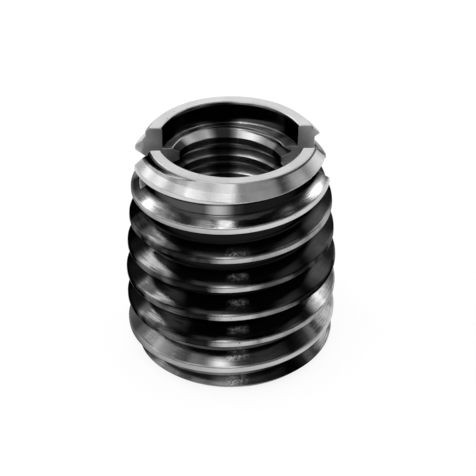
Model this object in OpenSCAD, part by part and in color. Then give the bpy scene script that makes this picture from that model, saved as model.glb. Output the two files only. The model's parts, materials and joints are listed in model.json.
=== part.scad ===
// Slotted threaded insert: a self-tapping bush with a metric thread inside
// and a coarser one outside. It stands on its plain end, slot upwards.
// Both threads are right-handed. Z runs up the bore from the plain face.

/* [Body] */
// Length from the plain face to the slotted face
body_length = 11; // [9:0.5:18]
// Length of the leading stretch, at the slotted end, on which the crests taper
lead_length = 6.5; // [3:0.5:7]
// Diameter that the tapered crests reach at the slotted face
lead_d = 8.9; // [8.8:0.1:9.8]
// Outer diameter of the slotted face, inside its bevel
lead_face_d = 7.75; // [7.5:0.05:8]
// Outer diameter of the plain face, inside its bevel
plain_face_d = 8.9; // [8.4:0.1:9.4]
// Height of the bevel round the plain face
plain_bevel_h = 0.6; // [0.3:0.05:0.9]

/* [Outer thread] */
// Diameter over the full crests
outer_d = 10; // [9.9:0.05:10.2]
// Rise of the outer thread in one turn
outer_pitch = 1.5; // [1.4:0.05:2]
// Diameter at the roots of the outer thread
outer_root_d = 8.1; // [8.05:0.05:8.6]
// Width of the flat left on each outer crest
outer_crest_w = 0.25; // [0.1:0.01:0.3]
// Direction round the axis in which a crest meets the slotted face
outer_start = 45; // [0:5:355]

/* [Inner thread] */
// Diameter at the roots of the inner thread, its nominal size
inner_d = 6; // [5.8:0.05:6.2]
// Rise of the inner thread in one turn
inner_pitch = 1; // [1:0.05:1.25]
// Diameter of the bore between the inner crests
inner_minor_d = 5.15; // [5.1:0.01:5.2]
// Width of the flat at the roots of the inner thread
inner_root_w = 0.125; // [0.1:0.005:0.14]
// Direction round the axis in which an inner crest meets the plain face
inner_start = 335; // [0:5:355]

/* [Bore ends] */
// Diameter of the smooth counterbore at the slotted end
counterbore_d = 6.6; // [6.4:0.1:7]
// Depth of the counterbore below the slotted face
counterbore_depth = 1.1; // [0.8:0.1:1.8]
// Bevel round the mouth of the counterbore
mouth_bevel = 0.1; // [0.05:0.01:0.15]
// Diameter of the countersink in the plain face
countersink_d = 6.4; // [6.1:0.1:7]

/* [Driving slot] */
// Width of the slot across the end
slot_w = 2; // [1.2:0.1:2.6]
// Depth of the slot below the slotted face
slot_depth = 2; // [1:0.1:3]
// Turn of the slot away from the X axis
slot_turn = 2; // [0:1:45]

/* [Hidden] */

// Half of the angle between the two flanks of either thread
flank_angle = 30;
// Steps in one turn of each thread
outer_steps = 60;
inner_steps = 40;
// Distance that a cutter reaches past the surface that it cuts
reach = 0.4;
// Distance past a crest to which a flank runs on at its own slope
run_on = 0.03;
$fn = 96;

outer_r = outer_d / 2;
outer_root_r = outer_root_d / 2;
inner_r = inner_d / 2;
inner_minor_r = inner_minor_d / 2;
flank_slope = tan(flank_angle);

// Radius of the outer crests at height z: full up to the lead, then tapering
function crest_r(z) =
    outer_r - (outer_r - lead_d / 2) * max(0, z - (body_length - lead_length)) / lead_length;

// One flank of the outer groove whose crest edge lies at height z; side is 1 for
// the flank above the groove and -1 for the one below it. From the root outwards.
function outer_flank(z, side) = let (r = crest_r(z)) [
    [outer_root_r, z - side * (r - outer_root_r) * flank_slope],
    [r + run_on, z + side * run_on * flank_slope],
    [outer_r + reach, z + side * run_on * flank_slope],
];

// Section of the outer groove, centred at height z, as a loop of [radius, height]
function outer_section(z) =
    let (half = (outer_pitch - outer_crest_w) / 2)
    concat(reversed(outer_flank(z - half, -1)), outer_flank(z + half, 1));

// Section of the inner groove, centred at height z
function inner_section(z) =
    let (
        root_half = inner_root_w / 2,
        bore_r = inner_minor_r - run_on,
        bore_half = root_half + (inner_r - bore_r) * flank_slope
    ) [
        [bore_r - reach, z - bore_half],
        [bore_r, z - bore_half],
        [inner_r, z - root_half],
        [inner_r, z + root_half],
        [bore_r, z + bore_half],
        [bore_r - reach, z + bore_half],
    ];

function reversed(list) = [for (i = [len(list) - 1 : -1 : 0]) list[i]];

// A section stood up in the plane that holds the axis, turned to one direction
function placed(section, turn) =
    [for (p = section) [p[0] * cos(turn), p[0] * sin(turn), p[1]]];

// Solid that runs through the sections in turn. Each section is a loop of the
// same number of points, and both ends are closed by a fan.
module swept(sections) {
    sides = len(sections[0]);
    last = (len(sections) - 1) * sides;
    points = [for (section = sections) each section];
    walls = [
        for (base = [0 : sides : last - sides], i = [0 : sides - 1])
            let (
                j = (i + 1) % sides,
                a = base + i,
                b = base + j,
                c = base + sides + j,
                d = base + sides + i
            )
            each [[a, b, c], [a, c, d]]
    ];
    start_cap = [for (i = [1 : sides - 2]) [0, i + 1, i]];
    end_cap = [for (i = [1 : sides - 2]) [last, last + i, last + i + 1]];
    polyhedron(points, concat(walls, start_cap, end_cap));
}

// Helical groove cut from the outside of the blank
module outer_groove() {
    // a groove lies half a turn from its crests, and half a pitch above them
    first_z = body_length + outer_pitch / 2;
    turns = body_length / outer_pitch + 1.2;
    swept([
        for (i = [0 : turns * outer_steps])
            let (rise = i / outer_steps)
            placed(outer_section(first_z - outer_pitch * rise), outer_start - 360 * rise)
    ]);
}

// Helical groove cut from the wall of the bore
module inner_groove() {
    // it starts half a pitch below the plain face and runs out in the counterbore
    first_z = -inner_pitch / 2;
    turns = (body_length - counterbore_depth) / inner_pitch + 1.2;
    swept([
        for (i = [0 : turns * inner_steps])
            let (rise = i / inner_steps)
            placed(inner_section(first_z + inner_pitch * rise), inner_start + 360 * rise)
    ]);
}

// Turned blank, before its threads: bevelled at both ends, tapered at the lead
module blank() {
    // the lead bevel runs at 45 degrees from the slotted face out to the taper
    taper = (outer_r - lead_d / 2) / lead_length;
    bevel_h = (lead_d - lead_face_d) / 2 / (1 - taper);
    rotate_extrude()
        polygon([
            [0, 0],
            [plain_face_d / 2, 0],
            [outer_r, plain_bevel_h],
            [outer_r, body_length - lead_length],
            [crest_r(body_length - bevel_h), body_length - bevel_h],
            [lead_face_d / 2, body_length],
            [0, body_length],
        ]);
}

// Space of the bore: minor diameter, countersink, counterbore and its bevelled mouth
module bore() {
    seat_z = body_length - counterbore_depth;
    countersink_h = (countersink_d - inner_minor_d) / 2;
    translate([0, 0, -reach])
        cylinder(d = inner_minor_d, h = body_length);
    translate([0, 0, -reach])
        cylinder(d1 = countersink_d + 2 * reach, d2 = inner_minor_d, h = countersink_h + reach);
    translate([0, 0, seat_z])
        cylinder(d = counterbore_d, h = counterbore_depth + reach);
    translate([0, 0, body_length - mouth_bevel])
        cylinder(
            d1 = counterbore_d,
            d2 = counterbore_d + 2 * (mouth_bevel + reach),
            h = mouth_bevel + reach
        );
}

// Slot across the leading end, for a driver, which also leaves a cutting edge
module driving_slot() {
    rotate([0, 0, slot_turn])
        translate([-outer_d, -slot_w / 2, body_length - slot_depth])
            cube([2 * outer_d, slot_w, slot_depth + reach]);
}

module insert() {
    color([0.16, 0.16, 0.17])
        difference() {
            blank();
            outer_groove();
            bore();
            inner_groove();
            driving_slot();
        }
}

insert();
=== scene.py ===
# %% [markdown]
# # A slotted threaded insert
#
# A threaded insert is a short steel bush with a thread on both sides of its wall.
# The coarse outer thread bites into a drilled hole, and the fine inner thread
# takes a screw. The CAD part gives every size. Here the same bush is made again
# in the order in which a machine shop works: threaded bar, turned ends, drilled
# and tapped bore, counterbore, milled slot. That order gives clean crests with
# small rounded edges, which is what the light shows first on real steel.

# %% Load the part
import json
import math

import bpy
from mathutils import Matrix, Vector


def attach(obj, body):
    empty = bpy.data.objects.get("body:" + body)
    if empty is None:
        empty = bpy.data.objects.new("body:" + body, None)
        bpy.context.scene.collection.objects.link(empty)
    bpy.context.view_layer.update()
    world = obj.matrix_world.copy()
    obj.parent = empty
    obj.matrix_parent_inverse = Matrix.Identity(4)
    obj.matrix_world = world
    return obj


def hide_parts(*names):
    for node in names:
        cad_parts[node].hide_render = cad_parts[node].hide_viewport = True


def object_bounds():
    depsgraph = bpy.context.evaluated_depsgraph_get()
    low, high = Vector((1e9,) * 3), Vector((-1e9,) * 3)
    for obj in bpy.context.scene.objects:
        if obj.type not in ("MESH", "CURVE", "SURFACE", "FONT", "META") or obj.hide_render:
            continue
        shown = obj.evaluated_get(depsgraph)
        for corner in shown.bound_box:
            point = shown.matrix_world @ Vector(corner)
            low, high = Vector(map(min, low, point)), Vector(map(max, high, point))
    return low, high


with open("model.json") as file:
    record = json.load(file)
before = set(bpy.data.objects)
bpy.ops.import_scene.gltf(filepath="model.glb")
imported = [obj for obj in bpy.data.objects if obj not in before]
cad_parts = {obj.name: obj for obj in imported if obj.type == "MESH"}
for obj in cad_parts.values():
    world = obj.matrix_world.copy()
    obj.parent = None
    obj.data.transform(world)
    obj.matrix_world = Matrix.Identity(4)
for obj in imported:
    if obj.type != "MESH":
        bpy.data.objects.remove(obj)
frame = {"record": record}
cad_low, cad_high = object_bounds()
mounts = {mount["name"]: mount for mount in frame["record"]["mounts"]}
print("part box in mm:", [round(1000 * v, 3) for v in (*cad_low, *cad_high)])

# %% [markdown]
# ## Working size
#
# The bush is 11 mm long. Blender's edit tools weld points that lie closer than a
# set distance, and those distances suit an object that is metres in size. So the
# bush is modelled with one unit to the millimetre, and it is brought to true size
# when it is finished. The radii that a screw or a hole has to fit come from the
# part's own record, and the rest are the same sizes that the CAD part uses.

# %% Sizes in millimetres, directions in degrees
MM = 0.001
LENGTH = 1000 * cad_high[2]
OUTER_R = mounts["outer_thread"]["dims"]["r_mm"]
OUTER_ROOT_R = 4.05
OUTER_PITCH = 1.5
OUTER_CREST_W = 0.25
OUTER_START = 45
LEAD_LENGTH = 6.5
LEAD_R = 4.45
LEAD_FACE_R = 3.875
PLAIN_FACE_R = 4.45
PLAIN_BEVEL = 0.6
BORE_R = mounts["threaded_bore"]["dims"]["r_mm"]
INNER_ROOT_R = 3.0
INNER_PITCH = 1.0
INNER_ROOT_W = 0.125
INNER_START = 335
COUNTERBORE_R = mounts["counterbore"]["dims"]["r_mm"]
COUNTERBORE_DEPTH = 1.1
MOUTH_BEVEL = 0.1
COUNTERSINK_R = 3.2
SLOT_W = 2.0
SLOT_DEPTH = 2.0
SLOT_TURN = 2
FLANK = math.tan(math.radians(30))
seat_z = LENGTH - COUNTERBORE_DEPTH
slot_z = LENGTH - SLOT_DEPTH
print("length", LENGTH, "outer radius", OUTER_R, "bore radius", BORE_R)

# %% [markdown]
# ## Small helpers
#
# Every step begins with nothing selected, because an operator acts on all that is
# selected. A line is drawn one point at a time, as by hand: a plane is merged to
# one point, and that point is extruded along the line.

# %% Pick one piece, open it for editing, draw a line
WELD = 1e-4


def pick(piece):
    """Selects this piece and nothing else."""
    bpy.ops.object.select_all(action="DESELECT")
    piece.select_set(True)
    bpy.context.view_layer.objects.active = piece


def edit(piece):
    """Opens a piece in edit mode with all of it selected."""
    pick(piece)
    bpy.ops.object.mode_set(mode="EDIT")
    bpy.ops.mesh.select_all(action="SELECT")


def line_through(name, points):
    """Draws an open line of (x, y, z) points."""
    bpy.ops.object.select_all(action="DESELECT")
    bpy.ops.mesh.primitive_plane_add(size=1)
    line = bpy.context.object
    line.name = name
    edit(line)
    bpy.ops.mesh.merge(type="CENTER")
    bpy.ops.transform.translate(value=points[0])
    for here, there in zip(points, points[1:]):
        step = Vector(there) - Vector(here)
        bpy.ops.mesh.extrude_vertices_move(TRANSFORM_OT_translate={"value": step})
    bpy.ops.object.mode_set(mode="OBJECT")
    return line


# %% Weld a skin, apply a modifier, cut one solid with another
def weld():
    """In edit mode, welds what touches and points all faces outwards."""
    bpy.ops.mesh.select_all(action="SELECT")
    bpy.ops.mesh.remove_doubles(threshold=WELD)
    bpy.ops.mesh.normals_make_consistent(inside=False)


def apply_modifier(piece, kind, **settings):
    pick(piece)
    modifier = piece.modifiers.new(kind.lower(), kind)
    for key, value in settings.items():
        setattr(modifier, key, value)
    bpy.ops.object.modifier_apply(modifier=modifier.name)


def machine(piece, tool, how="DIFFERENCE"):
    """Cuts the piece with the tool, or keeps what both fill, and drops the tool."""
    apply_modifier(piece, "BOOLEAN", object=tool, operation=how, solver="MANIFOLD")
    print(how.lower(), tool.name, "leaves", len(piece.data.polygons), "faces")
    bpy.data.objects.remove(tool)


# %% [markdown]
# ## Threaded bar
#
# A thread is one small outline carried round the axis while it climbs. The outline
# covers exactly one pitch: half a root, a flank, the crest, the other flank and
# half a root. The Screw modifier carries it round and welds each turn to the
# next, so the bar gets one unbroken skin. Two bisect cuts close its ends.
# The crest corners are rounded a little, because thread rolling and plating leave
# no knife edge there.

# %% Carry an outline round the axis
CORNER_SEGMENTS = 5
FLANK_PARTS = 9


def carry_round(line, steps, rise=0.0, turns=1):
    """Carries a line round the Z axis, and up by rise in each turn."""
    apply_modifier(
        line,
        "SCREW",
        angle=2 * math.pi,
        screw_offset=rise,
        iterations=turns,
        steps=steps,
        render_steps=steps,
        axis="Z",
        use_merge_vertices=True,
        merge_threshold=WELD,
        use_normal_calculate=True,
    )


def round_crest(line, crest_r, softness):
    """Rounds the two corners of the outline that lie at the crest."""
    pick(line)
    bpy.ops.object.mode_set(mode="EDIT")
    bpy.ops.mesh.select_mode(type="VERT")
    bpy.ops.mesh.select_all(action="DESELECT")
    bpy.ops.object.mode_set(mode="OBJECT")
    for v in line.data.vertices:
        v.select = abs(v.co.x - crest_r) < WELD
    bpy.ops.object.mode_set(mode="EDIT")
    bpy.ops.mesh.bevel(offset=softness, segments=CORNER_SEGMENTS, affect="VERTICES")
    bpy.ops.object.mode_set(mode="OBJECT")


# %% Make a threaded bar
def threaded_bar(name, crest_r, root_r, crest_w, pitch, crest_z, turns, steps, softness):
    """A bar with one crest at height crest_z, straight along X, and turns above it."""
    flank_h = (crest_r - root_r) * FLANK
    half_root = (pitch - crest_w) / 2 - flank_h
    z0 = crest_z - pitch / 2
    rising = [(root_r, z0), (root_r, z0 + half_root)]
    for i in range(1, FLANK_PARTS):
        share = i / FLANK_PARTS
        rising.append((root_r + (crest_r - root_r) * share, z0 + half_root + flank_h * share))
    rising.append((crest_r, crest_z - crest_w / 2))
    outline = rising + [(r, 2 * crest_z - z) for r, z in reversed(rising)]
    bar = line_through(name, [(r, 0, z) for r, z in outline])
    round_crest(bar, crest_r, softness)
    carry_round(bar, steps, pitch, turns)
    return bar


def close_ends(bar, low, high):
    """Cuts the bar off square at both heights and fills the cuts."""
    edit(bar)
    for z, clear in ((low, "clear_inner"), (high, "clear_outer")):
        bpy.ops.mesh.select_all(action="SELECT")
        bpy.ops.mesh.bisect(
            plane_co=(0, 0, z), plane_no=(0, 0, 1), use_fill=True, threshold=WELD, **{clear: True}
        )
    weld()
    bpy.ops.object.mode_set(mode="OBJECT")
    print(bar.name, "has", len(bar.data.polygons), "faces")


# %% [markdown]
# ## Tapered lead
#
# The first turns of a self-tapping thread are lower than the rest, so that the
# insert starts easily and each turn cuts a little deeper. The outline keeps its
# narrow crest and sinks towards the root as it nears the slotted end, and the
# very first turns are pressed flatter as well. Above the first crest the bar is
# already the shape of the lead bevel, apart from a short groove beside the rim,
# where the thread runs out. At the plain end the tool leaves the work, so the last
# root is shallower. Points are moved straight inwards or outwards here, which no
# modifier does.

# %% Where the first crest runs, and where the run-outs begin
PRESSED_Z = (8.0, 9.0)
PRESSED = 0.5
LAST_ROOT_Z = (2.4, 3.4)
LAST_ROOT_FILL = 0.25
RIM_ROOT_R = 3.92
RIM_GROOVE_TURN = (108, 150)
RIM_GROOVE_DEPTH = (0.04, 0.22)
BESIDE_BEVEL_TURN = (115, 165)
BESIDE_BEVEL = (0.05, 0.15)
crest_at_x = LENGTH - OUTER_PITCH * OUTER_START / 360
print("the first crest passes the X axis at", round(crest_at_x, 3), "mm")


def between(value, low, high):
    """0 below low, 1 above high, and an even rise between them."""
    return min(1.0, max(0.0, (value - low) / (high - low)))


# %% Shape the lead and the run-outs
def above_first_crest(z, turn, sink):
    """Radius of the lead bevel, and of the groove beside the rim; turn is clockwise."""
    beside = BESIDE_BEVEL[0] - BESIDE_BEVEL[1] * between(turn, *BESIDE_BEVEL_TURN)
    wanted = min(OUTER_R - sink, LEAD_FACE_R + LENGTH - z + beside)
    run_out = between(turn, *RIM_GROOVE_TURN)
    if run_out and z > LENGTH - RIM_GROOVE_DEPTH[0] - RIM_GROOVE_DEPTH[1] * run_out:
        wanted = min(wanted, RIM_ROOT_R)
    return wanted


def on_thread(z, radius, sink):
    """Radius of a point of the thread after the lead sinks it."""
    rise = (radius - OUTER_ROOT_R) / (OUTER_R - OUTER_ROOT_R)
    flat = PRESSED * between(z, *PRESSED_Z)
    fill = LAST_ROOT_FILL * (1 - rise) * (1 - between(z, *LAST_ROOT_Z))
    return max(OUTER_ROOT_R, radius - sink * (1 - flat + flat * rise) + fill)


def sink_crests(bar):
    """Tapers the lead, and shapes the bar above its first crest."""
    for v in bar.data.vertices:
        radius = math.hypot(v.co.x, v.co.y)
        direction = math.atan2(v.co.y, v.co.x)
        sink = (OUTER_R - LEAD_R) * between(v.co.z, LENGTH - LEAD_LENGTH, LENGTH)
        if v.co.z > crest_at_x + OUTER_PITCH * direction / (2 * math.pi):
            wanted = above_first_crest(v.co.z, -math.degrees(direction), sink)
        else:
            wanted = on_thread(v.co.z, radius, sink)
        v.co.x *= wanted / radius
        v.co.y *= wanted / radius


# %% Make the outer thread
OUTER_STEPS = 144
OUTER_TURNS = 10
TURNS_BELOW = 9
BAR_OVER = 0.4
# the crests stay this far inside the CAD part's box
INSIDE_BOX = 0.002
bush = threaded_bar(
    "threaded_bush",
    OUTER_R - INSIDE_BOX,
    OUTER_ROOT_R,
    OUTER_CREST_W,
    OUTER_PITCH,
    crest_at_x - TURNS_BELOW * OUTER_PITCH,
    OUTER_TURNS,
    OUTER_STEPS,
    softness=0.06,
)
sink_crests(bush)
close_ends(bush, -BAR_OVER, LENGTH + BAR_OVER)

# %% [markdown]
# ## Turned ends
#
# A turned shape is one outline spun round the axis. The tool here is the envelope
# that the lathe leaves: flat end faces, a small bevel at the plain end, and a
# 45 degree lead bevel at the slotted end. In between it stands clear of the
# thread, so only the ends are cut.

# %% Turn both ends
TURNED_STEPS = 192
CLEAR_R = OUTER_R + 0.3


def turned(name, outline):
    """Spins an outline of (radius, height) points, which starts and ends on the axis."""
    solid = line_through(name, [(r, 0, z) for r, z in outline])
    carry_round(solid, TURNED_STEPS)
    edit(solid)
    weld()
    bpy.ops.object.mode_set(mode="OBJECT")
    return solid


bevel_slope = (OUTER_R - PLAIN_FACE_R) / PLAIN_BEVEL
envelope = turned(
    "envelope",
    [
        (0, 0),
        (PLAIN_FACE_R, 0),
        (CLEAR_R, (CLEAR_R - PLAIN_FACE_R) / bevel_slope),
        (CLEAR_R, LENGTH - (CLEAR_R - LEAD_FACE_R)),
        (LEAD_FACE_R, LENGTH),
        (0, LENGTH),
    ],
)
machine(bush, envelope, "INTERSECT")

# %% [markdown]
# ## Drilled and tapped bore
#
# The tap is itself a threaded bar, a little longer than the bush. Cutting the bush
# with it leaves the true inner thread, with its crests at the bore radius.
# The counterbore and both small bevels are then turned away, which also clears
# the run-out of the tap.

# %% Tap the bore
INNER_STEPS = 112
INNER_TURNS = 15
TAP_OVER = 0.6
tap_crest_at_x = -INNER_PITCH / 2 - INNER_PITCH * INNER_START / 360
tap = threaded_bar(
    "tap",
    INNER_ROOT_R,
    BORE_R,
    INNER_ROOT_W,
    INNER_PITCH,
    tap_crest_at_x - INNER_PITCH,
    INNER_TURNS,
    INNER_STEPS,
    softness=0.03,
)
close_ends(tap, -TAP_OVER, LENGTH + TAP_OVER)
machine(bush, tap)

# %% Turn the counterbore and the countersink
OVER = 0.5
mouth = turned(
    "mouth",
    [
        (0, seat_z),
        (COUNTERBORE_R, seat_z),
        (COUNTERBORE_R, LENGTH - MOUTH_BEVEL),
        (COUNTERBORE_R + MOUTH_BEVEL + OVER, LENGTH + OVER),
        (0, LENGTH + OVER),
    ],
)
machine(bush, mouth)
countersink_h = COUNTERSINK_R - BORE_R
countersink = turned(
    "countersink",
    [(0, -OVER), (COUNTERSINK_R + OVER, -OVER), (BORE_R, countersink_h), (0, countersink_h)],
)
machine(bush, countersink)

# %% [markdown]
# ## Driving slot
#
# One pass of a slitting cutter crosses both walls. It gives a driver something to
# turn, and where it breaks through the thread it leaves a cutting edge.

# %% Mill the slot
CUTTER_LENGTH = 14
bpy.ops.object.select_all(action="DESELECT")
bpy.ops.mesh.primitive_cube_add(size=1, location=(0, 0, 0))
cutter = bpy.context.object
cutter.name = "slitting_cutter"
edit(cutter)
bpy.ops.transform.resize(value=(CUTTER_LENGTH, SLOT_W, SLOT_DEPTH + OVER))
# with no window open, this operator turns the other way, hence the minus
bpy.ops.transform.rotate(
    value=-math.radians(SLOT_TURN), orient_axis="Z", center_override=(0, 0, 0)
)
bpy.ops.transform.translate(value=(0, 0, slot_z + (SLOT_DEPTH + OVER) / 2))
bpy.ops.object.mode_set(mode="OBJECT")
machine(bush, cutter)

# %% [markdown]
# ## True size and shading
#
# The finished bush is scaled to metres in its mesh, so its object stays at the
# origin, unturned and unscaled, as the CAD part's does. Slivers that the cuts
# left are welded first. Faces that meet at a small angle shade as one curve, and
# the real edges stay crisp.

# %% Bring it to true size
SLIVER = 2.5e-3
SMOOTH_BELOW = math.radians(15)
edit(bush)
bpy.ops.mesh.remove_doubles(threshold=SLIVER)
bpy.ops.mesh.dissolve_degenerate(threshold=WELD)
bpy.ops.transform.resize(value=(MM, MM, MM), center_override=(0, 0, 0))
bpy.ops.object.mode_set(mode="OBJECT")
bpy.ops.object.shade_smooth_by_angle(angle=SMOOTH_BELOW)
apply_modifier(bush, "WEIGHTED_NORMAL", mode="FACE_AREA", weight=60, keep_sharp=True)
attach(bush, "root")
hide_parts("insert")
bush.data.calc_loop_triangles()
print("bush has", len(bush.data.loop_triangles), "triangles")

# %% [markdown]
# ## Turned steel: where things are
#
# The finish is a dark plated film over steel. Both are metal, so a surface shows
# what it reflects, and the base colour says how much of it: a few percent on the
# film, more than half on steel that is rubbed bare. So one number, the level, is
# worked out for every point, and the colour comes from it at the end. Besides film
# and wear, the level carries painted highlights and painted shade, set by the side
# of the bush that a point faces. It needs to know where a point lies: its radius,
# its height, how deep it is below the crests, and which side of the bush it faces.
# All of that comes from Object coordinates, so the wear and the painted light stay
# on the metal from every side.

# %% Node helpers
class Nodes:
    """Adds nodes to one node tree."""

    def __init__(self, tree):
        self.tree = tree

    def add(self, kind, inputs=None, **settings):
        made = self.tree.nodes.new(kind)
        for key, value in settings.items():
            setattr(made, key, value)
        for key, value in (inputs or {}).items():
            if isinstance(value, bpy.types.NodeSocket):
                self.tree.links.new(value, made.inputs[key])
            else:
                made.inputs[key].default_value = value
        return made

    def math(self, operation, *values):
        """One number out of several, taken two at a time."""
        result = values[0]
        for value in values[1:] or (0.0,):
            inputs = {0: result, 1: value}
            result = self.add("ShaderNodeMath", inputs, operation=operation).outputs[0]
        return result

    def vector_math(self, operation, first, second):
        return self.add("ShaderNodeVectorMath", {0: first, 1: second}, operation=operation)

    def ramp(self, value, low, high, to_low, to_high):
        """Maps a value from one range to another, and holds it at both ends."""
        ends = {"From Min": low, "From Max": high, "To Min": to_low, "To Max": to_high}
        return self.add("ShaderNodeMapRange", {"Value": value, **ends}).outputs["Result"]

    def mix(self, factor, first, second):
        inputs = {"Factor": factor, "A": first, "B": second}
        return self.add("ShaderNodeMix", inputs, data_type="FLOAT").outputs[0]

    def noise(self, place, scale, detail, roughness=0.5):
        inputs = {"Vector": place, "Scale": scale, "Detail": detail, "Roughness": roughness}
        return self.add("ShaderNodeTexNoise", inputs).outputs["Fac"]

    def grey(self, level):
        inputs = {"Red": level, "Green": level, "Blue": level}
        return self.add("ShaderNodeCombineColor", inputs).outputs[0]


# %% Place, radius, height and side
material = bpy.data.materials.new("turned_steel")
material.use_nodes = True
metal = Nodes(material.node_tree)
math_of, ramp, mix = metal.math, metal.ramp, metal.mix

place = metal.add("ShaderNodeTexCoord").outputs["Object"]
per_mm = (1 / MM, 1 / MM, 1 / MM)
mm = metal.add("ShaderNodeMapping", {"Vector": place, "Scale": per_mm}).outputs[0]
x, y, height = metal.add("ShaderNodeSeparateXYZ", {0: mm}).outputs
radius = math_of("SQRT", math_of("ADD", math_of("MULTIPLY", x, x), math_of("MULTIPLY", y, y)))


def along(direction):
    """Distance from the axis along a direction, in degrees from the X axis."""
    turn = math.radians(direction)
    arrow = (math.cos(turn), math.sin(turn), 0)
    return metal.vector_math("DOT_PRODUCT", mm, arrow).outputs["Value"]


def facing(direction):
    """1 on the side of the bush that faces a direction, -1 on the far side."""
    return math_of("DIVIDE", along(direction), radius)


# %% Depth below the crests, and height along the first turn
crest = ramp(height, LENGTH - LEAD_LENGTH, LENGTH, OUTER_R, LEAD_R)
lead_bevel = math_of("SUBTRACT", LEAD_FACE_R + LENGTH, height)
skin = math_of("MINIMUM", crest, lead_bevel)
below_skin = math_of("SUBTRACT", skin, radius)
# a crest climbs from the left round the front to the right, and this follows it
turn_height = math_of("SUBTRACT", height, math_of("MULTIPLY", facing(0), OUTER_PITCH / 4))
print("depth runs from 0 on the crests to", round(OUTER_R - OUTER_ROOT_R, 2), "mm in the roots")

# %% [markdown]
# ## Turned steel: noises
#
# Tools leave fine rings that run round the axis, so one noise changes quickly with
# radius and height and slowly round the bush. Oil and handling leave soft clouds
# and larger blots, and the plating has a fine grain. These four break up the rubbed
# stretches, the painted highlights and the highlight patches, so that none of them
# ends on a clean line.

# %% Rings, clouds, blots and grain
SLOW = (0.03, 0.02, 0.0)
profile = metal.add("ShaderNodeCombineXYZ", {"X": radius, "Y": height, "Z": 0.0}).outputs[0]
slow = metal.vector_math("MULTIPLY", mm, SLOW).outputs[0]
round_axis = metal.vector_math("ADD", profile, slow).outputs[0]
rings = metal.noise(round_axis, 14.0, 3.0, 0.65)
clouds = metal.noise(mm, 0.55, 4.0, 0.55)
blots = metal.noise(mm, 0.9, 1.5)
grain = metal.noise(mm, 9.0, 3.0)
spots = math_of("ADD", blots, math_of("MULTIPLY", rings, 0.8))

# %% [markdown]
# ## Turned steel: rubbed crests and painted crest highlights
#
# Handling rubs the film off what stands out, and bare steel is brighter. The first
# and last crests are rubbed all round, with painted shade on the left and at the
# back. The crests between them are rubbed at the back, and a short stretch in
# front, a weaker one to its right and one low on the right side are painted
# highlights. All of it fades with depth below the crest, so the flanks stay dark.

# %% Where handling rubs, and where crest highlights are painted
FRONT = -87
FIRST_CREST = (8.5, 8.75)
LAST_CREST = (1.6, 2.2)

# painted highlight on a short stretch of the crests in front
front_edge = math_of("ADD", facing(FRONT), ramp(grain, 0.3, 0.7, -0.003, 0.003))
front_highlight = ramp(front_edge, 0.96, 0.994, 0.0, 0.9)
end_turns = math_of(
    "MAXIMUM", ramp(height, 6.6, 7.2, 0.0, 1.0), ramp(height, 3.4, 3.9, 1.0, 0.0)
)
# painted highlights on the crests to the right of the front
side_highlight = mix(
    end_turns,
    ramp(facing(-72), 0.88, 0.99, 0.0, 0.5),
    ramp(facing(-45), 0.7, 0.88, 0.0, 0.65),
)
# painted highlight on the crests low on the right side
right_highlight = math_of(
    "MULTIPLY", ramp(facing(-12), 0.75, 0.97, 0.0, 0.95), ramp(height, 2.5, 5.0, 1.0, 0.2)
)
back_rub = ramp(facing(95), 0.3, 0.8, 0.0, 0.6)
luck = ramp(clouds, 0.42, 0.62, -0.25, 0.15)
rub_and_highlight = math_of("ADD", math_of("MAXIMUM", side_highlight, right_highlight, back_rub), luck)

# %% Rub the ends, with painted shade towards the back left, and let it fade with depth
ends_rub_and_shade = math_of(
    "ADD", ramp(turn_height, *FIRST_CREST, 0.0, 0.95), ramp(height, *LAST_CREST, 0.9, 0.0)
)
# painted shade on the end crests towards the back left
ends_rub_and_shade = math_of("MULTIPLY", ends_rub_and_shade, ramp(facing(-40), -0.5, 0.7, 0.4, 1.0))
rub_and_highlight = math_of("MAXIMUM", rub_and_highlight, front_highlight, ends_rub_and_shade, 0.0)
rub_and_highlight = math_of("POWER", rub_and_highlight, 1.6)
uneven_depth = math_of("ADD", below_skin, ramp(rings, 0.3, 0.7, -0.02, 0.04))
rubbed_and_highlight = math_of("MULTIPLY", ramp(uneven_depth, 0.03, 0.13, 1.0, 0.0), rub_and_highlight)

# %% The end face and the lead bevel are bare steel too
end_face = ramp(height, LENGTH - 0.05, LENGTH - 0.02, 0.0, 1.0)
lead_land = math_of(
    "MULTIPLY", ramp(height, 9.85, 10.0, 0.0, 1.0), ramp(radius, 4.14, 4.2, 0.0, 1.0)
)
bare_and_highlight = math_of("MAXIMUM", rubbed_and_highlight, lead_land, end_face)

# %% [markdown]
# ## Turned steel: the film and painted light
#
# The film is nearly black, with soft clouds in its tone. Over it, highlights and
# shade are painted: a grey sheen on the flank of the first turn, with painted shade
# and a narrow highlight on its left and a highlight on its right; a sheen on the
# flank of the last turn, with a brighter painted highlight in front; painted shade
# beside the crests and in the roots; streaky highlight patches on the left and low
# on the right; and a line of faint painted highlights down the front.

# %% Painted sheen and shade on the first turn
THICKEST = 0.018
left_sheen = ramp(facing(-151), 0.98, 0.997, 0.0, 0.25)
left_shade = ramp(facing(-157), 0.86, 0.93, 0.3, 0.03)
right_sheen = ramp(facing(-30), 0.95, 0.985, 0.0, 0.4)
first_turn = math_of(
    "MULTIPLY",
    ramp(turn_height, 8.95, 9.15, 0.0, 1.0),
    math_of("ADD", left_shade, left_sheen, right_sheen),
)
film_and_painted_light = math_of("ADD", first_turn, THICKEST, ramp(clouds, 0.35, 0.65, 0.0, 0.015))

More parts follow.
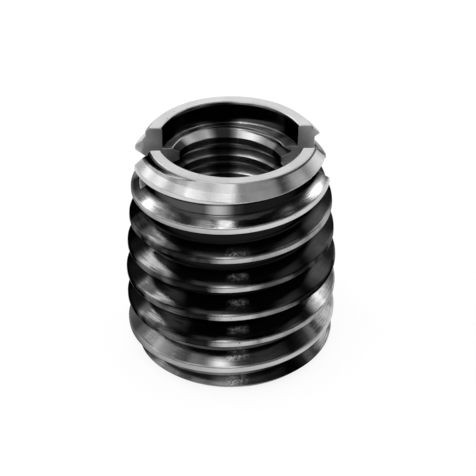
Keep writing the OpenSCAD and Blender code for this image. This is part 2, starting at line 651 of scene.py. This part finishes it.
# %% Painted sheen on the last turn, with one painted highlight in front
below_last_crest = math_of(
    "MAXIMUM", ramp(height, 0.9, 1.1, 0.0, 1.0), ramp(facing(-100), 0.85, 0.98, 0.0, 1.0)
)
last_flank_sheen = math_of(
    "MULTIPLY",
    ramp(height, 1.6, 2.5, 0.10, 0.0),
    ramp(facing(-142), 0.85, 0.98, 1.0, 0.5),
    below_last_crest,
)
last_flank_highlight = math_of(
    "MULTIPLY",
    math_of("POWER", ramp(facing(-96), 0.98, 1.0, 0.0, 0.75), 2.5),
    ramp(height, 1.7, 1.9, 1.0, 0.0),
    ramp(height, 0.85, 1.05, 0.12, 1.0),
)
film_and_painted_light = math_of("ADD", film_and_painted_light, last_flank_sheen, last_flank_highlight)

# %% Painted shade beside the crests and in the roots
beside_crest_shade = math_of(
    "MAXIMUM",
    ramp(below_skin, 0.04, 0.12, 0.5, 1.0),
    ramp(turn_height, 8.6, 8.8, 0.0, 1.0),
)
film_and_painted_light = math_of("MULTIPLY", film_and_painted_light, beside_crest_shade, ramp(radius, 4.07, 4.3, 0.3, 1.0))

# %% Painted highlights down the front
mid_flank = ramp(height, 6.2, 7.2, 0.5, 0.3)
off_mid_flank = math_of("ABSOLUTE", math_of("SUBTRACT", below_skin, mid_flank))
front_flank_highlights = math_of(
    "MULTIPLY",
    ramp(facing(-86), 0.991, 0.998, 0.0, 1.0),
    ramp(grain, 0.42, 0.6, 0.02, 0.35),
    ramp(off_mid_flank, 0.1, 0.22, 1.0, 0.0),
    ramp(height, 8.3, 8.6, 1.0, 0.0),
)

# %% Painted highlight patches on the left and low on the right
left_side = mix(ramp(height, 4.5, 7.5, 0.0, 1.0), facing(-134), facing(-150))
left_highlight_patch = math_of(
    "MULTIPLY",
    ramp(left_side, 0.94, 0.985, 0.0, 0.14),
    ramp(spots, 0.80, 0.98, 0.1, 1.0),
)
right_highlight_patch = math_of(
    "MULTIPLY",
    ramp(facing(-13), 0.88, 0.97, 0.0, 0.5),
    ramp(height, 3.9, 4.7, 1.0, 0.05),
    ramp(spots, 0.80, 0.98, 0.35, 0.8),
)
film_and_painted_light = math_of("ADD", film_and_painted_light, front_flank_highlights, left_highlight_patch, right_highlight_patch)

# %% Painted shade in the first root, with painted highlights in front
first_root = math_of(
    "MULTIPLY", ramp(radius, 4.06, 4.3, 1.0, 0.0), ramp(turn_height, 10.2, 10.3, 1.0, 0.0)
)
root_highlight_spot = math_of("POWER", ramp(facing(-98), 0.972, 1.0, 0.0, 0.75), 3.0)
root_highlights = math_of(
    "MULTIPLY",
    math_of("MAXIMUM", ramp(facing(-118), 0.8, 0.97, 0.0, 0.07), root_highlight_spot),
    ramp(turn_height, 8.9, 9.0, 0.0, 1.0),
)
film_and_painted_light = mix(first_root, film_and_painted_light, math_of("ADD", root_highlights, 0.01))

# %% [markdown]
# ## Turned steel: bore, slot and rim
#
# The far wall of the bore is painted bright as a reflection, apart from a stretch of
# painted shade in its middle, and the rest of the bore and the counterbore above it
# are painted dark as shade. The slot and the floor of the counterbore are cut
# through the film, so they are dull grey. The floor has painted shade in the middle
# of its far side, and the slot has a lighter left end, a darker right end and a
# darker floor, all painted light and shade. Two lines of painted shade finish the
# rim: one in the groove where the thread runs out, and one beside the end face on
# the right.

# %% Painted reflection and shade in the bore, and the floor of the counterbore with painted shade
in_bore = ramp(radius, COUNTERBORE_R + 0.05, COUNTERBORE_R + 0.1, 1.0, 0.0)
bore_reflection_and_shade = math_of(
    "MULTIPLY",
    ramp(facing(92), 0.6, 0.92, 0.03, 0.9),
    ramp(facing(98), 0.965, 0.995, 1.0, 0.15),
    ramp(height, seat_z + 0.03, seat_z + 0.1, 1.0, 0.14),
)
off_seat = math_of("ABSOLUTE", math_of("SUBTRACT", height, seat_z))
seat = math_of(
    "MULTIPLY",
    ramp(off_seat, 0.02, 0.03, 1.0, 0.0),
    ramp(radius, COUNTERBORE_R - 0.05, COUNTERBORE_R, 1.0, 0.0),
)
seat_grey_and_shade = math_of(
    "MULTIPLY",
    ramp(spots, 0.78, 1.0, 0.12, 0.8),
    ramp(facing(98), 0.965, 0.995, 1.0, 0.2),
)

# %% The slot, with painted light on its ends and painted shade on its floor
off_slot = math_of("ABSOLUTE", along(90 + SLOT_TURN))
in_slot = math_of(
    "MULTIPLY",
    ramp(off_slot, SLOT_W / 2 + 0.004, SLOT_W / 2 + 0.01, 1.0, 0.0),
    ramp(height, slot_z - 0.02, slot_z - 0.01, 0.0, 1.0),
)
slot_end_light = math_of(
    "MULTIPLY",
    ramp(radius, 4.15, 4.3, 0.0, 1.0),
    ramp(facing(180), -0.5, 0.5, -0.2, 0.4),
)
slot_floor_shade = ramp(height, slot_z, slot_z + 0.03, -0.2, 0.0)
slot_grey_and_light = math_of("ADD", ramp(blots, 0.35, 0.65, 0.42, 0.6), slot_end_light, slot_floor_shade)
film_and_painted_light = mix(in_bore, film_and_painted_light, bore_reflection_and_shade)
film_and_painted_light = mix(in_slot, film_and_painted_light, slot_grey_and_light)
film_and_painted_light = mix(seat, film_and_painted_light, seat_grey_and_shade)

# %% Painted shade in the groove beside the rim, and in a line beside the end face
rim_groove_shade = math_of(
    "MULTIPLY",
    ramp(radius, 4.02, 4.12, 0.95, 0.0),
    ramp(radius, 3.8, 3.85, 0.0, 1.0),
    ramp(below_skin, 0.015, 0.04, 0.0, 1.0),
    ramp(height, 10.5, 10.6, 0.0, 1.0),
    math_of("SUBTRACT", 1.0, in_slot),
)
film_and_painted_light = math_of("MULTIPLY", film_and_painted_light, math_of("SUBTRACT", 1.0, rim_groove_shade))
off_edge_shade_line = math_of("ABSOLUTE", math_of("SUBTRACT", radius, LEAD_FACE_R + 0.05))
edge_shade_line = math_of(
    "MULTIPLY",
    ramp(off_edge_shade_line, 0.015, 0.05, 0.85, 0.0),
    ramp(facing(-18), 0.6, 0.9, 0.0, 1.0),
    ramp(height, 10.8, 10.85, 0.0, 1.0),
)

# %% [markdown]
# ## Turned steel: colour, gloss and relief
#
# The level now mixes film and steel, and the painted highlights and shade come with
# them. Steel is a little uneven, with a few dark pits, and the end face is the
# brightest. Bare steel is slightly rougher than the film, and cut faces are the
# roughest. At a grazing angle metal always reflects more, and the Specular Tint
# keeps the dark film from turning white there. Apart from the crests, the edges are
# too small to round in the mesh, so the Bevel node rounds them in the light. A faint
# bump carries the rings and the grain.

# %% Colour
pits = metal.add("ShaderNodeTexVoronoi", {"Vector": mm, "Scale": 3.2, "Randomness": 1.0})
pit_size = math_of("ADD", pits.outputs["Distance"], math_of("MULTIPLY", blots, 0.5))
steel = math_of(
    "ADD",
    ramp(clouds, 0.4, 0.65, 0.62, 0.52),
    ramp(pit_size, 0.27, 0.36, -0.3, 0.0),
    math_of("MULTIPLY", end_face, 0.14),
)
# the line of painted shade beside the end face darkens the level
level = math_of("MULTIPLY", mix(bare_and_highlight, film_and_painted_light, steel), math_of("SUBTRACT", 1.0, edge_shade_line))

# %% Gloss
MILLED = 0.45
POLISHED = 0.28
handled = math_of("ADD", ramp(clouds, 0.35, 0.7, 0.0, 0.06), ramp(rings, 0.35, 0.7, 0.0, 0.05))
rough = math_of(
    "MAXIMUM",
    math_of("ADD", handled, ramp(bare_and_highlight, 0.0, 1.0, 0.10, 0.13)),
    math_of("MULTIPLY", math_of("MAXIMUM", in_slot, seat), MILLED),
    math_of("MULTIPLY", end_face, 0.8 * MILLED),
    ramp(radius, COUNTERBORE_R - 0.02, COUNTERBORE_R - 0.01, POLISHED, 0.0),
)

# %% Relief, and the finished material
fine = math_of("MULTIPLY", grain, ramp(end_face, 0.0, 1.0, 0.35, 0.05))
soft_edge = metal.add("ShaderNodeBevel", {"Radius": 0.05 * MM}, samples=6).outputs[0]
bump_inputs = {
    "Strength": 0.06,
    "Distance": 0.05 * MM,
    "Height": math_of("ADD", rings, fine),
    "Normal": soft_edge,
}
bump = metal.add("ShaderNodeBump", bump_inputs).outputs[0]
shader = metal.tree.nodes["Principled BSDF"]
shader.inputs["Metallic"].default_value = 1.0
for name, value in (
    ("Base Color", metal.grey(level)),
    ("Specular Tint", metal.grey(ramp(level, 0.0, 0.6, 0.28, 0.9))),
    ("Roughness", rough),
    ("Normal", bump),
):
    metal.tree.links.new(value, shader.inputs[name])
bush.data.materials.clear()
bush.data.materials.append(material)
print("turned_steel has", len(metal.tree.nodes), "nodes")

# %% [markdown]
# ## Studio
#
# Metal shows its surroundings, so the studio is part of the finish. The floor and
# the low walls are white and the ceiling is dark, which gives the black bands on
# the flanks of the thread. The floor looks plain white to the camera and in the
# metal, and it still takes the bush's shadow.

# %% Floor
FLOOR_GLOW = 0.88
bpy.ops.object.select_all(action="DESELECT")
bpy.ops.mesh.primitive_plane_add(size=4)
floor = bpy.context.object
floor.name = "floor"
paper = bpy.data.materials.new("white_paper")
paper.use_nodes = True
sheet = Nodes(paper.node_tree)
path = sheet.add("ShaderNodeLightPath").outputs
seen = sheet.math(
    "MAXIMUM", path["Is Camera Ray"], path["Is Glossy Ray"], path["Is Transmission Ray"]
)
matte = sheet.add("ShaderNodeBsdfDiffuse", {"Color": (0.9, 0.9, 0.9, 1)})
glow = sheet.add("ShaderNodeEmission", {"Color": (1, 1, 1, 1), "Strength": 1.0})
share = sheet.math("MULTIPLY", seen, FLOOR_GLOW)
mixed = sheet.add(
    "ShaderNodeMixShader", {0: share, 1: matte.outputs[0], 2: glow.outputs[0]}
)
sheet.tree.nodes.remove(sheet.tree.nodes["Principled BSDF"])
sheet.tree.links.new(mixed.outputs[0], sheet.tree.nodes["Material Output"].inputs["Surface"])
floor.data.materials.append(paper)
print("floor is", floor.dimensions.x, "m across")

# %% World: white walls and a dark ceiling
# how steeply a ray looks up, from 0 level to 1 straight up, and what it finds there
WALL_TONES = ((0.10, 1.0), (0.22, 0.60), (0.40, 0.28), (0.60, 0.03), (0.85, 0.0))
world = bpy.data.worlds.new("studio")
bpy.context.scene.world = world
world.use_nodes = True
sky = Nodes(world.node_tree)
direction = sky.add("ShaderNodeTexCoord").outputs["Generated"]
upwards = sky.add("ShaderNodeSeparateXYZ", {0: direction}).outputs["Z"]
walls = sky.add("ShaderNodeValToRGB", {0: upwards})
stops = walls.color_ramp.elements
stops[0].position, stops[1].position = WALL_TONES[0][0], WALL_TONES[-1][0]
for at, tone in WALL_TONES[1:-1]:
    stops.new(at)
for stop, (at, tone) in zip(stops, WALL_TONES):
    stop.color = (tone, tone, tone, 1)
    print("wall at", round(stop.position, 2), "is", tone)
background = sky.tree.nodes["Background"]
background.inputs["Strength"].default_value = 1.0
sky.tree.links.new(walls.outputs[0], background.inputs["Color"])

# %% [markdown]
# ## Lamps
#
# A lamp on metal is a bright shape, so each panel stands where one bright place of
# the bush looks. The key lights the lead bevel and the front from the left, and its
# fill does so weakly from the right. Panels on the left and the right light the
# flanks at the sides, and those behind light the end face and both edges. The small
# ones near the top light the far wall of the bore and the middle of the front. A
# panel fades towards its edges, as cloth in front of a lamp does, so its reflection
# has no hard line. The wide lamp overhead isn't mirrored: it only lights the floor.

# %% Make a softbox
MIDDLE = Vector((0, 0, cad_high[2] / 2))
LAMP_DISTANCE = 0.25
# the fade takes the edge of a panel away, so a panel is made this much larger
FADE_MARGIN = 1.2


def softbox(name, azimuth, elevation, width, height, brightness, distance=LAMP_DISTANCE):
    """A lamp panel that faces the bush; brightness 1 looks white in a mirror.

    The azimuth is 0 behind the bush and 90 to its right.
    """
    turn, lift = math.radians(azimuth), math.radians(elevation)
    flat = math.cos(lift)
    away = Vector((math.sin(turn) * flat, math.cos(turn) * flat, math.sin(lift)))
    data = bpy.data.lights.new(name, "AREA")
    data.shape = "RECTANGLE"
    data.size, data.size_y = FADE_MARGIN * width, FADE_MARGIN * height
    data.energy = brightness * math.pi * data.size * data.size_y
    data.use_nodes = True
    fade_edges(Nodes(data.node_tree))
    lamp = bpy.data.objects.new(name, data)
    bpy.context.collection.objects.link(lamp)
    lamp.location = away * distance + MIDDLE
    lamp.rotation_euler = away.to_track_quat("Z", "Y").to_euler()
    lamp.visible_camera = False
    print(name, "at", [round(v, 3) for v in lamp.location])
    return lamp


def fade_edges(cloth):
    """Fades a panel to nothing over the outer part of its width and height."""
    geometry = cloth.add("ShaderNodeNewGeometry").outputs["Parametric"]
    share = cloth.add("ShaderNodeSeparateXYZ", {0: geometry}).outputs
    across = cloth.math("ABSOLUTE", share["Y"])
    up = cloth.math("ABSOLUTE", cloth.math("SUBTRACT", 1.0, share["X"], share["Y"]))
    fade = cloth.math(
        "MULTIPLY", cloth.math("PINGPONG", across, 0.5), cloth.math("PINGPONG", up, 0.5), 4.0
    )
    glow = cloth.math("MULTIPLY", cloth.math("POWER", fade, 0.5), 2.0)
    glow = cloth.math("MINIMUM", glow, 1.0)
    cloth.tree.links.new(glow, cloth.tree.nodes["Emission"].inputs["Strength"])


# %% Place the softboxes
# name, azimuth, elevation, width, height, brightness
for panel in (
    ("key", -148, 55, 0.16, 0.10, 1.4),
    ("key_fill", 158, 52, 0.24, 0.08, 0.45),
    ("left", -97, 42, 0.14, 0.07, 1.05),
    ("left_low", -72, 27, 0.13, 0.08, 1.3),
    ("left_back", -57, 43, 0.06, 0.12, 3.5),
    ("back", 0, 28, 0.12, 0.12, 1.3),
    ("right", 61, 18, 0.09, 0.08, 0.7),
    ("right_back", 53, 40, 0.08, 0.09, 2.2),
    ("right_fill", 92, 34, 0.10, 0.06, 0.6),
    ("top_left", -98, 76, 0.05, 0.08, 2.3),
    ("top_right", 77, 64, 0.05, 0.06, 1.0),
    ("front_spot", -149, 73, 0.03, 0.05, 3.5),
    ("top_front", 180, 85, 0.03, 0.02, 0.5),
):
    softbox(*panel)
overhead = softbox("overhead", 0, 90, 0.5, 0.5, 2.5, distance=0.4)
overhead.visible_glossy = False

# %% [markdown]
# ## Camera
#
# The camera stands close, in front and above, so that the far rim is a little
# narrower than the near one and a few turns of the bore show.

# %% Camera
CAMERA_DISTANCE = 0.0767
CAMERA_LIFT = math.radians(34.25)
lens = bpy.data.cameras.new("camera")
camera = bpy.data.objects.new("camera", lens)
bpy.context.collection.objects.link(camera)
bpy.context.scene.camera = camera
back = Vector((0, -math.cos(CAMERA_LIFT), math.sin(CAMERA_LIFT)))
camera.location = MIDDLE + CAMERA_DISTANCE * back
camera.rotation_euler = (math.pi / 2 - CAMERA_LIFT, 0, 0)
lens.sensor_width = 36
lens.lens = 122.1
lens.shift_x = 0.0147
lens.shift_y = -0.0008
lens.clip_start = MM
bpy.context.scene.view_settings.view_transform = "Standard"
print("camera at", [round(v, 4) for v in camera.location])
